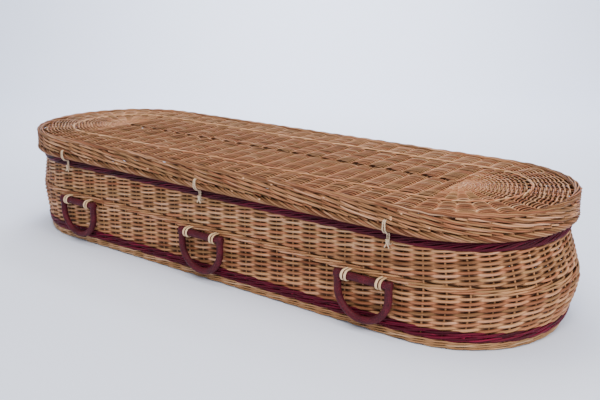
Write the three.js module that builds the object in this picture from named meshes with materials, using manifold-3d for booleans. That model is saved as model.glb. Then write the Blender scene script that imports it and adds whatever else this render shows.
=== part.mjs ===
// Willow coffin: a deep woven tray with rounded ends, a burgundy border round its mouth and a
// burgundy band at its foot, a woven lid that rests on the border and lifts off, six D handles that
// swing on cane lashings, and six cord ties that hold the lid down.
// Millimetres. The length runs along X, the width along Y, and the underside rests on Z = 0.

import * as THREE from 'three';
import { mergeVertices } from 'three/addons/utils/BufferGeometryUtils.js';
import Module from 'manifold-3d';

const wasm = await Module();
wasm.setup();

// Plan of the whole coffin, measured over the lid
const LENGTH = 1960;
const WIDTH = 630;
const CAP_DEPTH = 314;       // how far the rounded part of each end reaches along X
const CAP_FULLNESS = 2.05;   // 2 is an ellipse, more is squarer
const CAP_STEPS = 18;
const SIDE_STEPS = 4;
const SPINE_REACH = 20;      // of the level faces' middle line into each rounded end

// Body, a woven wall on a woven base, standing on a foot ring
const BODY_HEIGHT = 257.4;
const WALL = 18;
const BASE_THICKNESS = 18;
const FOOT_LIFT = 6;         // how far the foot ring stands below the base
const FOOT_WIDTH = 26;
const FOOT_END_INSET = 24;   // how far the wall lies inside the lid's plan, at its foot
const FOOT_SIDE_INSET = 33;
const BELLY_END_INSET = -17; // the same where the ends bulge most, here beyond the lid
const BELLY_SIDE_INSET = 28;
const MOUTH_END_INSET = 21;  // the same at its top
const MOUTH_SIDE_INSET = 27;
const BELLY_HEIGHT = 145;
const LOWER_FLARE = 1.55;    // how the wall curves below its widest line, 1 is straight
const UPPER_FLARE = 1.2;
const WALE_BOTTOM = 151;     // raised band of heavier weaving half way up
const WALE_HEIGHT = 18;
const WALE_RELIEF = 2;

// Burgundy band round the foot, let into the wall
const BAND_LIFT = 24;
const BAND_HEIGHT = 26;
const BAND_THICKNESS = 6;
const BAND_RELIEF = 1.5;
const GROOVE_GAP = 1;        // behind the band, where the wall is curved both ways

// Burgundy border round the mouth
const BORDER_HEIGHT = 28;
const BORDER_WIDTH = 27;
const BORDER_CORNER = 4;

// Lid, a shallow woven tray turned over
const LID_HEIGHT = 74;
const LID_WALL = 20;
const LID_TOP = 13;
const LID_EDGE_HEIGHT = 22;  // rolled border along its lower edge
const LID_EDGE_WIDTH = 44;
const LID_EDGE_CORNER = 4;
const LID_TUCK = 2.5;        // how far the wall leans in above the rolled border
const CORNER_RADIUS = 14;    // rope-like ridge between the lid's side and its top
const CORNER_WIDTH = 34;
const PANEL_SINK = 2.5;      // the panel lies this much below the ridge
const RING_INSET = 125;      // heavier ring of weaving inside the lid's edge
const RING_WIDTH = 16;
const RING_RELIEF = 3;

// Handles, a round bar with a bow hanging from its ends
const HANDLE_SETBACK = 92;   // of the outer handles from where the rounded ends begin
const HANDLE_SHIFT = -9;     // of every handle along X, the same way on both sides
const HANDLE_HEIGHT = 145;
const BAR_RADIUS = 11;
const BAR_LENGTH = 176;
const BOW_RADIUS = 10.5;
const BOW_DROP = 110;        // from the bar's axis to the middle of the bow's rod
const BOW_LEG = 36;          // straight part of each leg
const BOW_STEPS = 12;
const BOW_SIDES = 8;
const BAR_SIDES = 12;
const HANDLE_GAP = 2.5;      // between the bar and the wall's raised band

// Cane lashings, two on each bar, through the wall
const LASHING_OFFSET = 53;
const LASHING_WIDTH = 21;
const LASHING_THICKNESS = 3.2;
const LASHING_STEPS = 5;
const LASHING_SLACK = 5;     // behind the wall's inner face

// Cord ties, through the lid above its rolled border and through the wall below the burgundy one
const TIE_OFFSETS = [-47, -3, 67];     // along X from the middle of each handle
const TIE_WIDTH = 11;
const TIE_THICKNESS = 3.6;
const TIE_MARGIN = 5;        // above the lid's rolled border and below the burgundy one
const TIE_STANDOFF = 1;      // in front of the borders
const TIE_SLACK = 4;         // behind the border's inner face
const KNOT_RADIUS = 5.5;
const TAIL_RADIUS = 1.8;
const TAIL_LENGTH = 22;
const TAIL_SIDES = 6;
const TAIL_LEAN = 0.35;      // radians from upright

// Gaps between pieces that touch, and round what passes through a wall
const CONTACT_GAP = 0.3;
const SLIDE_GAP = 0.5;
const MERGE_DISTANCE = 0.001; // between corners that are one

// Values that follow from the ones above
const HALF_LENGTH = LENGTH / 2;
const HALF_WIDTH = WIDTH / 2;
const STRAIGHT = HALF_LENGTH - CAP_DEPTH;
const BORDER_BOTTOM = BODY_HEIGHT + CONTACT_GAP;
const LID_BOTTOM = BORDER_BOTTOM + BORDER_HEIGHT + CONTACT_GAP;
const LID_RIDGE = LID_BOTTOM + LID_HEIGHT;
const BASE_TOP = FOOT_LIFT + BASE_THICKNESS;
const BORDER_SET_IN = (WALL - BORDER_WIDTH) / 2;
const HANDLE_SPACING = STRAIGHT - HANDLE_SETBACK;
const HANDLE_POSITIONS = [-1, 0, 1].map((place) => place * HANDLE_SPACING + HANDLE_SHIFT);

// Colours of the pieces
const WILLOW = { color: 0xb98a63, roughness: 0.62, metalness: 0 };
const BURGUNDY = { color: 0x6e1c34, roughness: 0.5, metalness: 0 };
const CANE = { color: 0xd9c49a, roughness: 0.6, metalness: 0 };
const CORD = { color: 0xe0d2b0, roughness: 0.8, metalness: 0 };

const group = new THREE.Group();

function addPiece(name, solid, finish, x = 0, y = 0, z = 0, turn = 0) {
  const mesh = solid.getMesh();
  const geometry = new THREE.BufferGeometry();
  geometry.setAttribute('position', new THREE.BufferAttribute(mesh.vertProperties, 3));
  geometry.setIndex(new THREE.BufferAttribute(mesh.triVerts, 1));
  geometry.computeVertexNormals();
  const piece = new THREE.Mesh(geometry, new THREE.MeshStandardMaterial(finish));
  piece.name = name;
  piece.position.set(x, y, z);
  piece.rotation.z = turn;
  group.add(piece);
}

// A closed geometry as a solid that can be cut and joined
function toSolid(geometry) {
  const bare = geometry.clone();
  bare.deleteAttribute('normal');
  bare.deleteAttribute('uv');
  const merged = mergeVertices(bare, MERGE_DISTANCE);
  return new wasm.Manifold(new wasm.Mesh({
    numProp: 3,
    vertProperties: merged.attributes.position.array,
    triVerts: Uint32Array.from(merged.index.array),
  }));
}

// The coffin's plan. Stations run once round it: a rounded cap, a straight side, a cap and a side.
const STATIONS = 2 * (CAP_STEPS + SIDE_STEPS);

function planPoint(station, endInset, sideInset) {
  const half = station % (STATIONS / 2);
  const facing = station % STATIONS < STATIONS / 2 ? 1 : -1;
  const halfWidth = HALF_WIDTH - sideInset;
  if (half > CAP_STEPS) {
    const along = (half - CAP_STEPS) / SIDE_STEPS;
    return [facing * STRAIGHT * (1 - 2 * along), facing * halfWidth];
  }
  const angle = Math.PI * (half / CAP_STEPS - 0.5);
  const reach = Math.abs(Math.cos(angle)) ** (2 / CAP_FULLNESS);
  const spread = Math.abs(Math.sin(angle)) ** (2 / CAP_FULLNESS) * Math.sign(angle);
  return [facing * (STRAIGHT + (CAP_DEPTH - endInset) * reach), facing * halfWidth * spread];
}

// Half the plan's width at a distance along X
function sideReach(x) {
  const intoCap = Math.max(0, Math.abs(x) - STRAIGHT) / CAP_DEPTH;
  return HALF_WIDTH * (1 - intoCap ** CAP_FULLNESS) ** (1 / CAP_FULLNESS);
}

// Turns a profile round the plan. Each point is [inset at the ends, inset along the sides, height].
function roundThePlan(profile) {
  const lathePoints = profile.map(([, inset, z]) => new THREE.Vector2(HALF_WIDTH - inset, z));
  const geometry = new THREE.LatheGeometry(lathePoints, STATIONS);
  const position = geometry.attributes.position;
  for (let vertex = 0; vertex < position.count; vertex += 1) {
    const [endInset, sideInset, z] = profile[vertex % profile.length];
    const [x, y] = planPoint(Math.floor(vertex / profile.length), endInset, sideInset);
    position.setXYZ(vertex, x, y, z);
  }
  return toSolid(geometry);
}

// Profile points: on the middle line of a level face, and equally far in all round
const spine = (z) => [CAP_DEPTH - SPINE_REACH, HALF_WIDTH, z];
const even = (inset, z) => [inset, inset, z];

// Profile point of the body's wall at a height, so far in from its outer face
function wallPoint(z, depth = 0, height = z) {
  const below = Math.max(0, (BELLY_HEIGHT - z) / BELLY_HEIGHT) ** LOWER_FLARE;
  const above = Math.max(0, (z - BELLY_HEIGHT) / (BODY_HEIGHT - BELLY_HEIGHT)) ** UPPER_FLARE;
  const inset = (foot, belly, mouth) => belly + (foot - belly) * below + (mouth - belly) * above + depth;
  return [
    inset(FOOT_END_INSET, BELLY_END_INSET, MOUTH_END_INSET),
    inset(FOOT_SIDE_INSET, BELLY_SIDE_INSET, MOUTH_SIDE_INSET),
    height,
  ];
}

// Body: base, foot ring and wall, with a groove for the burgundy band
const bandTop = BAND_LIFT + BAND_HEIGHT;
const grooveDepth = BAND_THICKNESS - BAND_RELIEF + GROOVE_GAP;
const waleTop = WALE_BOTTOM + WALE_HEIGHT;
const betweenBandAndBelly = (bandTop + BELLY_HEIGHT) / 2;
const betweenWaleAndMouth = (waleTop + BODY_HEIGHT) / 2;
const body = roundThePlan([
  spine(FOOT_LIFT),
  wallPoint(0, FOOT_WIDTH, FOOT_LIFT),
  wallPoint(0, FOOT_WIDTH),
  wallPoint(0),
  wallPoint(BAND_LIFT, 0, BAND_LIFT - CONTACT_GAP),
  wallPoint(BAND_LIFT, grooveDepth, BAND_LIFT - CONTACT_GAP),
  wallPoint(bandTop, grooveDepth, bandTop + CONTACT_GAP),
  wallPoint(bandTop, 0, bandTop + CONTACT_GAP),
  wallPoint(betweenBandAndBelly),
  wallPoint(WALE_BOTTOM),
  wallPoint(WALE_BOTTOM + WALE_HEIGHT / 3, -WALE_RELIEF),
  wallPoint(waleTop - WALE_HEIGHT / 3, -WALE_RELIEF),
  wallPoint(waleTop),
  wallPoint(betweenWaleAndMouth),
  wallPoint(BODY_HEIGHT),
  wallPoint(BODY_HEIGHT, WALL),
  wallPoint(betweenWaleAndMouth, WALL),
  wallPoint(BELLY_HEIGHT, WALL),
  wallPoint(betweenBandAndBelly, WALL),
  wallPoint(BASE_TOP, WALL),
  spine(BASE_TOP),
]);

// Ring of burgundy rods let into the groove
const bandDepth = BAND_THICKNESS - BAND_RELIEF;
const bandMiddle = BAND_LIFT + BAND_HEIGHT / 2;
const band = roundThePlan([
  wallPoint(BAND_LIFT, bandDepth),
  wallPoint(BAND_LIFT),
  wallPoint(bandMiddle, -BAND_RELIEF, BAND_LIFT + BAND_HEIGHT / 3),
  wallPoint(bandMiddle, -BAND_RELIEF, bandTop - BAND_HEIGHT / 3),
  wallPoint(bandTop),
  wallPoint(bandTop, bandDepth),
  wallPoint(BAND_LIFT, bandDepth),
]);

// Rounded burgundy border that lies on the wall's top
const borderTop = BORDER_BOTTOM + BORDER_HEIGHT;
const borderPoint = (depth, z) => wallPoint(BODY_HEIGHT, BORDER_SET_IN + depth, z);
const border = roundThePlan([
  borderPoint(BORDER_WIDTH - BORDER_CORNER, BORDER_BOTTOM),
  borderPoint(BORDER_CORNER, BORDER_BOTTOM),
  borderPoint(0, BORDER_BOTTOM + BORDER_CORNER),
  borderPoint(0, borderTop - BORDER_CORNER),
  borderPoint(BORDER_CORNER, borderTop),
  borderPoint(BORDER_WIDTH - BORDER_CORNER, borderTop),
  borderPoint(BORDER_WIDTH, borderTop - BORDER_CORNER),
  borderPoint(BORDER_WIDTH, BORDER_BOTTOM + BORDER_CORNER),
  borderPoint(BORDER_WIDTH - BORDER_CORNER, BORDER_BOTTOM),
]);

// Lid: rolled lower border, side, rope-like corner ridge, and the panel with its heavier ring
const edgeTop = LID_BOTTOM + LID_EDGE_HEIGHT;
const cornerStart = LID_RIDGE - CORNER_RADIUS;
const panelTop = LID_RIDGE - PANEL_SINK;
const lid = roundThePlan([
  spine(panelTop - LID_TOP),
  even(LID_TUCK + LID_WALL, panelTop - LID_TOP),
  even(LID_TUCK + LID_WALL, edgeTop + LID_EDGE_CORNER),
  even(LID_EDGE_WIDTH, edgeTop - LID_EDGE_CORNER),
  even(LID_EDGE_WIDTH, LID_BOTTOM + LID_EDGE_CORNER),
  even(LID_EDGE_WIDTH - LID_EDGE_CORNER, LID_BOTTOM),
  even(LID_EDGE_CORNER * 2, LID_BOTTOM),
  even(0, LID_BOTTOM + LID_EDGE_CORNER * 2),
  even(0, edgeTop),
  even(LID_TUCK, edgeTop + LID_EDGE_CORNER),
  even(LID_TUCK, cornerStart),
  even(LID_TUCK + CORNER_RADIUS / 3, LID_RIDGE - CORNER_RADIUS / 3),
  even(LID_TUCK + CORNER_RADIUS, LID_RIDGE),
  even(CORNER_WIDTH - PANEL_SINK, LID_RIDGE),
  even(CORNER_WIDTH, panelTop),
  even(RING_INSET - RING_WIDTH / 2, panelTop),
  even(RING_INSET - RING_WIDTH / 4, panelTop + RING_RELIEF),
  even(RING_INSET + RING_WIDTH / 4, panelTop + RING_RELIEF),
  even(RING_INSET + RING_WIDTH / 2, panelTop),
  spine(panelTop),
]);

// An outline with its corners moved outwards, so that each edge moves by the same distance.
// The points run anticlockwise.
function grown(points, distance) {
  return points.map((point, index) => {
    const before = points[(index + points.length - 1) % points.length];
    const after = points[(index + 1) % points.length];
    const arriving = point.clone().sub(before).normalize();
    const leaving = after.clone().sub(point).normalize();
    const outOfFirst = new THREE.Vector2(arriving.y, -arriving.x);
    const outOfSecond = new THREE.Vector2(leaving.y, -leaving.x);
    const away = outOfFirst.clone().add(outOfSecond).normalize();
    return point.clone().addScaledVector(away, distance / away.dot(outOfFirst));
  });
}

// A flat loop of one thickness in the plane across the coffin. Its inside outline holds points of
// [distance outwards, height]; gap makes the larger copy that cuts its way through a wall.
function loopSolid(inside, thickness, width, gap = 0) {
  const shape = new THREE.Shape(grown(inside, thickness + gap));
  shape.holes.push(new THREE.Path(grown(inside, -gap)));
  const depth = width + 2 * gap;
  const geometry = new THREE.ExtrudeGeometry(shape, { depth, bevelEnabled: false });
  geometry.translate(0, 0, -depth / 2);
  geometry.rotateX(Math.PI / 2);
  geometry.rotateZ(-Math.PI / 2);
  return toSolid(geometry);
}

// Lashing: round the front of the bar, through the wall and down its inner face. It is drawn
// round the bar's axis.
const outerFace = HALF_WIDTH - wallPoint(HANDLE_HEIGHT)[1];
const handleReach = outerFace + WALE_RELIEF + HANDLE_GAP + BAR_RADIUS;
const lashingRadius = (BAR_RADIUS + SLIDE_GAP) / Math.cos(Math.PI / (2 * LASHING_STEPS));
const lashingBack = outerFace - WALL - LASHING_SLACK - handleReach;
const lashingInside = [new THREE.Vector2(lashingBack, -lashingRadius)];
for (let step = 0; step <= LASHING_STEPS; step += 1) {
  const angle = Math.PI * (step / LASHING_STEPS - 0.5);
  const point = new THREE.Vector2(Math.cos(angle), Math.sin(angle));
  lashingInside.push(point.multiplyScalar(lashingRadius));
}
lashingInside.push(new THREE.Vector2(lashingBack, lashingRadius));
const lashing = loopSolid(lashingInside, LASHING_THICKNESS, LASHING_WIDTH);
const lashingWay = loopSolid(lashingInside, LASHING_THICKNESS, LASHING_WIDTH, SLIDE_GAP);

// Tie: down the lid's rolled border and the burgundy one, through the wall and up inside.
// It is drawn from the edge of the lid's plan.
const tieTop = edgeTop + LID_EDGE_CORNER + TIE_MARGIN;
const tieBottom = BORDER_BOTTOM - TIE_MARGIN;
const borderInset = MOUTH_SIDE_INSET + BORDER_SET_IN;
const innermost = Math.max(borderInset + BORDER_WIDTH, LID_EDGE_WIDTH, MOUTH_SIDE_INSET + WALL);
const tieBack = -(innermost + TIE_SLACK);
const tieFoot = TIE_STANDOFF - borderInset;
const tieInside = [
  [tieBack, tieBottom],
  [tieFoot, tieBottom],
  [tieFoot, borderTop - BORDER_CORNER],
  [-LID_EDGE_CORNER * 2, LID_BOTTOM - TIE_STANDOFF],
  [TIE_STANDOFF, LID_BOTTOM + LID_EDGE_CORNER * 2],
  [TIE_STANDOFF, tieTop],
  [tieBack, tieTop],
].map(([out, z]) => new THREE.Vector2(out, z));
const tieLoop = loopSolid(tieInside, TIE_THICKNESS, TIE_WIDTH);
const tieWay = loopSolid(tieInside, TIE_THICKNESS, TIE_WIDTH, SLIDE_GAP);

// Its knot and two short tails hang at the burgundy border's lower edge
const knotOut = tieFoot + TIE_THICKNESS + KNOT_RADIUS / 2;
const knotHeight = BORDER_BOTTOM + BORDER_CORNER;
const knot = new THREE.IcosahedronGeometry(KNOT_RADIUS, 0);
knot.translate(0, -knotOut, knotHeight);
let tie = tieLoop.add(toSolid(knot));
for (const lean of [-TAIL_LEAN, TAIL_LEAN]) {
  const tail = new THREE.CylinderGeometry(TAIL_RADIUS, TAIL_RADIUS, TAIL_LENGTH, TAIL_SIDES);
  tail.rotateX(Math.PI / 2);
  tail.translate(0, 0, -TAIL_LENGTH / 2);
  tail.rotateY(lean);
  tail.translate(0, -knotOut - TAIL_RADIUS, knotHeight);
  tie = tie.add(toSolid(tail));
}

// Handle: a straight bar, and a bow whose legs end over the bar's ends, round the bar's axis
const legOffset = BAR_LENGTH / 2 - BOW_RADIUS;
const bowPoints = [new THREE.Vector3(-legOffset, 0, BAR_RADIUS), new THREE.Vector3(-legOffset, 0, 0)];
for (let step = 0; step <= BOW_STEPS / 2; step += 1) {
  const angle = Math.PI * (step / (BOW_STEPS / 2));
  const drop = BOW_LEG + (BOW_DROP - BOW_LEG) * Math.sin(angle);
  bowPoints.push(new THREE.Vector3(-legOffset * Math.cos(angle), 0, -drop));
}
bowPoints.push(new THREE.Vector3(legOffset, 0, 0), new THREE.Vector3(legOffset, 0, BAR_RADIUS));
const rodSection = new THREE.Shape();
for (let side = 0; side < BOW_SIDES; side += 1) {
  const angle = (2 * Math.PI * (side + 0.5)) / BOW_SIDES;
  rodSection[side ? 'lineTo' : 'moveTo'](BOW_RADIUS * Math.cos(angle), BOW_RADIUS * Math.sin(angle));
}
const bow = new THREE.ExtrudeGeometry(rodSection, {
  extrudePath: new THREE.CatmullRomCurve3(bowPoints),
  steps: BOW_STEPS,
});
const bar = new THREE.CylinderGeometry(BAR_RADIUS, BAR_RADIUS, BAR_LENGTH, BAR_SIDES);
bar.rotateZ(Math.PI / 2);
const handle = toSolid(bow).add(toSolid(bar));

// Both long sides carry the same pieces. The ways of the lashings and ties are cut on the way.
let openBody = body;
let openLid = lid;
for (const [side, outwards, turn] of [['front', -1, 0], ['back', 1, Math.PI]]) {
  HANDLE_POSITIONS.forEach((x, index) => {
    const y = outwards * handleReach;
    addPiece(`handle_${side}_${index + 1}`, handle, BURGUNDY, x, y, HANDLE_HEIGHT, turn);
    for (const [end, offset] of [['left', -LASHING_OFFSET], ['right', LASHING_OFFSET]]) {
      const place = [x + offset, y, HANDLE_HEIGHT];
      addPiece(`lashing_${side}_${index + 1}_${end}`, lashing, CANE, ...place, turn);
      const turned = turn ? lashingWay.rotate([0, 0, 180]) : lashingWay;
      openBody = openBody.subtract(turned.translate(place));
    }
  });
  TIE_OFFSETS.forEach((offset, index) => {
    const x = HANDLE_POSITIONS[index] + offset;
    const place = [x, outwards * sideReach(x), 0];
    addPiece(`tie_${side}_${index + 1}`, tie, CORD, ...place, turn);
    const way = (turn ? tieWay.rotate([0, 0, 180]) : tieWay).translate(place);
    openBody = openBody.subtract(way);
    openLid = openLid.subtract(way);
  });
}
addPiece('coffin_body', openBody, WILLOW);
addPiece('lower_band', band, BURGUNDY);
addPiece('mouth_border', border, BURGUNDY);
addPiece('lid', openLid, WILLOW);

export default group;
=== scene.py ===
"""A woven willow coffin with its lid on, on a pale studio floor.

Metres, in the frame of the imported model: X along the coffin, -Y the long side that faces the
camera, Z up from the surface it stands on. Each section makes one piece, or a group of like pieces.
"""
import math

import bpy
import numpy as np
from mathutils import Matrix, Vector


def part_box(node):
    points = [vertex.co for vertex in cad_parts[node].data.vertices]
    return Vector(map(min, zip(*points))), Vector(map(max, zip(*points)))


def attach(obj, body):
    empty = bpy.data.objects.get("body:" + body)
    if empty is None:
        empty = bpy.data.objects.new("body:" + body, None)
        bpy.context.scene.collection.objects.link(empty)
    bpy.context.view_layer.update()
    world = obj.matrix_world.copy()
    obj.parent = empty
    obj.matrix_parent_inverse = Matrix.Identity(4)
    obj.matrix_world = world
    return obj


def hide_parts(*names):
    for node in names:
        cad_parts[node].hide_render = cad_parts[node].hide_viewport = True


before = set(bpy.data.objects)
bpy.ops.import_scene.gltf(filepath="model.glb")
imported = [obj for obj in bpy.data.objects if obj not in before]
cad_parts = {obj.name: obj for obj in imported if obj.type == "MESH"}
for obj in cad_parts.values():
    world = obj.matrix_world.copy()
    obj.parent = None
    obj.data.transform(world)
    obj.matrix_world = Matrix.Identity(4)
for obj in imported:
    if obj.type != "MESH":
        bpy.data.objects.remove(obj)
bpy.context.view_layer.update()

# The walls of the body: peeled buff willow in French randing. At every stake one rod begins, lies
# in front of one stake and behind the next, and climbs a row each time, so that the strokes rise
# to the right and leave a dark eye-shaped gap in front of each stake.
LID_LOW, LID_HIGH = (np.array(corner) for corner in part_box("lid"))
HALF_LENGTH = LID_HIGH[0]
HALF_WIDTH = LID_HIGH[1]
CAP_DEPTH = 0.314
CAP_FULLNESS = 2.05
STRAIGHT = HALF_LENGTH - CAP_DEPTH

BODY_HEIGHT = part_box("coffin_body")[1][2]
BELLY_HEIGHT = 0.145
FOOT_INSETS = (0.024, 0.033)    # how far the wall lies inside the lid's plan: at the ends, at the sides
BELLY_INSETS = (-0.017, 0.028)
MOUTH_INSETS = (0.021, 0.027)
LOWER_FLARE = 1.55
UPPER_FLARE = 1.2
WALL = 0.018
STAKES = 81
BAND_TOP = 0.050
WALE_LOW, WALE_HIGH = 0.153, 0.168

random = np.random.default_rng(7)


def plan_shares(count, dense=4000):
    """Stations evenly spaced round the coffin's plan.

    Each gives three factors: where it lies along the straight middle, from -1 to 1, then how far
    it reaches into the rounded end and across, each the sine or cosine of an angle raised to
    two over the cap's fullness.
    """
    angle = np.linspace(-np.pi / 2, np.pi / 2, dense)
    reach = np.abs(np.cos(angle)) ** (2 / CAP_FULLNESS)
    across = np.sign(np.sin(angle)) * np.abs(np.sin(angle)) ** (2 / CAP_FULLNESS)
    middle = np.linspace(1, -1, dense)
    ones = np.ones(dense)
    shares = np.concatenate([
        np.stack([ones, reach, across], 1),
        np.stack([middle, 0 * ones, ones], 1),
        np.stack([-ones, -reach, -across], 1),
        np.stack([-middle, 0 * ones, -ones], 1)])
    points = shares @ np.array([[STRAIGHT, 0], [CAP_DEPTH, 0], [0, HALF_WIDTH]])
    travelled = np.r_[0, np.cumsum(np.linalg.norm(np.diff(points, axis=0), axis=1))]
    wanted = np.arange(count) / count * travelled[-1]
    return np.stack([np.interp(wanted, travelled, shares[:, k]) for k in range(3)], 1)


def on_plan(shares, end_inset, side_inset, height):
    """Points of the plan moved inwards, by one distance at the rounded ends and by another along
    the sides. The straight middle keeps its length."""
    x = STRAIGHT * shares[..., 0] + (CAP_DEPTH - end_inset) * shares[..., 1]
    y = (HALF_WIDTH - side_inset) * shares[..., 2]
    return np.stack(np.broadcast_arrays(x, y, height), -1)


def on_body(shares, depth, height):
    """Points so far in from the outer face of the body's wall. The face lies inside the lid's plan
    by a power of the distance below the belly, or of the distance above it."""
    below = np.clip((BELLY_HEIGHT - height) / BELLY_HEIGHT, 0, 1) ** LOWER_FLARE
    above = np.clip((height - BELLY_HEIGHT) / (BODY_HEIGHT - BELLY_HEIGHT), 0, 1) ** UPPER_FLARE
    end_inset, side_inset = (
        belly + (foot - belly) * below + (mouth - belly) * above + depth
        for foot, belly, mouth in zip(FOOT_INSETS, BELLY_INSETS, MOUTH_INSETS))
    return on_plan(shares, end_inset, side_inset, height)


def wobble(count, rows, size, waves=5):
    """Slow closed waves along each row, different for each: a sum of a few sines."""
    around = np.arange(count) / count * 2 * np.pi
    order = np.arange(1, waves + 1)
    phase = random.uniform(0, 2 * np.pi, (rows, waves, 1))
    height = random.normal(0, 1, (rows, waves, 1)) / order[:, None] ** 0.5
    return size * (height * np.sin(order[:, None] * around + phase)).sum(1) / waves ** 0.5


def unevenness(angle, level, size, waves=9):
    """A slow unevenness that neighbouring rods share: a sum of sines of the angle round the plan
    and of the level, whole waves round the plan so that it closes."""
    turns = random.integers(3, 40, waves)
    climbs = random.normal(0, 25, waves)
    phase = random.uniform(0, 2 * np.pi, waves)
    return size * np.sin(turns * angle[..., None] + climbs * level[..., None] + phase).sum(-1) / waves ** 0.5


def tubes(paths, radius, sides=6, closed=True, flatten=1.0, up=(0, 0, 1), first=0.0):
    """Round rods along many paths at once: circles of each point's radius, square to the path.

    paths is (rod, point, xyz). The angle of a circle is counted from the side away from up, which
    is outwards on the coffin's wall, and turns towards up. The circle starts at the first angle.
    flatten scales the section along the direction that the angle is counted from.
    Gives the vertices, the faces, the distances along and around, and the end faces.
    """
    rods, points = paths.shape[:2]
    if closed:
        ahead = np.roll(paths, -1, 1) - np.roll(paths, 1, 1)
        step = np.linalg.norm(np.roll(paths, -1, 1) - paths, axis=2)
    else:
        ahead = np.gradient(paths, axis=1)
        step = np.linalg.norm(np.diff(paths, axis=1, append=paths[:, -1:]), axis=2)
    ahead = ahead / np.linalg.norm(ahead, axis=2, keepdims=True)
    side = np.cross(ahead, np.broadcast_to(np.asarray(up, float), ahead.shape))
    side = side / np.linalg.norm(side, axis=2, keepdims=True)
    over = np.cross(side, ahead)
    angle = first + np.arange(sides) / sides * 2 * np.pi
    radius = np.broadcast_to(radius, (rods, points))[..., None, None]
    circle = side[:, :, None] * (np.cos(angle) * flatten)[:, None] + over[:, :, None] * np.sin(angle)[:, None]
    vertices = paths[:, :, None] + radius * circle
    along = np.cumsum(step, 1) - step[:, :1]

    rod, point, turn = np.meshgrid(
        np.arange(rods), np.arange(points if closed else points - 1), np.arange(sides), indexing="ij")
    after = (point + 1) % points
    beside = (turn + 1) % sides
    number = lambda p, t: (rod * points + p) * sides + t
    faces = np.stack([
        number(point, turn), number(after, turn), number(after, beside), number(point, beside)], -1)
    here = along[rod, point]
    there = here + step[rod, point]
    uv = np.stack([
        np.stack([here, turn / sides], -1), np.stack([there, turn / sides], -1),
        np.stack([there, (turn + 1) / sides], -1), np.stack([here, (turn + 1) / sides], -1)], -2)
    ends = None
    if not closed:
        base = (np.arange(rods) * points)[:, None] * sides + np.arange(sides)
        ends = np.concatenate([base[:, ::-1], base + (points - 1) * sides])[:, ::-1]
    return vertices.reshape(-1, 3), faces.reshape(-1, 4), uv.reshape(-1, 2), ends


def hidden_side(lift, sides, crevice):
    """How much of a rod's surface faces the inside of the weave, from 0 to 1, where its circles
    start at the side that faces outwards.

    lift is 1 where the rod lies on the outer face and -1 on the inner one. The facing is the lift
    times the cosine of the angle from outwards, and its plain size where the rod is half way. What
    faces outwards less than the crevice gets painted shade, a darkening in place of the shadow inside
    the weave, and half as much counts half way.
    """
    cosine = np.cos(np.arange(sides) / sides * 2 * np.pi)
    lift = lift[..., None]
    size = np.abs(lift)
    return np.clip(crevice * (0.5 + size / 2) - lift * cosine - (1 - size) * np.abs(cosine), 0, 1)


def add_piece(name, parts, material, replaced=(), body="coffin"):
    """One mesh from several batches of rods. Each batch is (tubes, tint, shade, deep): three
    values for each rod, point or vertex that choose its colour, its lightness and its painted shade."""
    corners, starts, places, uvs = [], [], [], []
    fields = {"tint": [], "shade": [], "deep": []}
    used = 0
    for (vertices, faces, uv, ends), *values in parts:
        places.append(vertices)
        starts.append(np.full(len(faces), 4))
        corners.append(faces.ravel() + used)
        uvs.append(uv)
        if ends is not None:
            starts.append(np.full(len(ends), ends.shape[1]))
            corners.append(ends.ravel() + used)
            uvs.append(np.zeros((ends.size, 2)))
        for title, value in zip(fields, values):
            fields[title].append(np.repeat(np.ravel(value), len(vertices) // np.size(value)))
        used += len(vertices)
    sizes = np.concatenate(starts)
    mesh = bpy.data.meshes.new(name)
    mesh.vertices.add(used)
    mesh.vertices.foreach_set("co", np.concatenate(places).astype(np.float32).ravel())
    mesh.loops.add(int(sizes.sum()))
    mesh.loops.foreach_set("vertex_index", np.concatenate(corners).astype(np.int32))
    mesh.polygons.add(len(sizes))
    mesh.polygons.foreach_set("loop_start", (np.cumsum(sizes) - sizes).astype(np.int32))
    mesh.update(calc_edges=True)
    mesh.shade_smooth()
    mesh.uv_layers.new(name="rod").data.foreach_set("uv", np.concatenate(uvs).astype(np.float32).ravel())
    for title, values in fields.items():
        field = mesh.attributes.new(title, "FLOAT", "POINT")
        field.data.foreach_set("value", np.concatenate(values).astype(np.float32))
    mesh.materials.append(material)
    piece = bpy.data.objects.new(name, mesh)
    bpy.context.collection.objects.link(piece)
    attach(piece, body)
    for node in replaced:
        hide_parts(node)
    return piece


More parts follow.
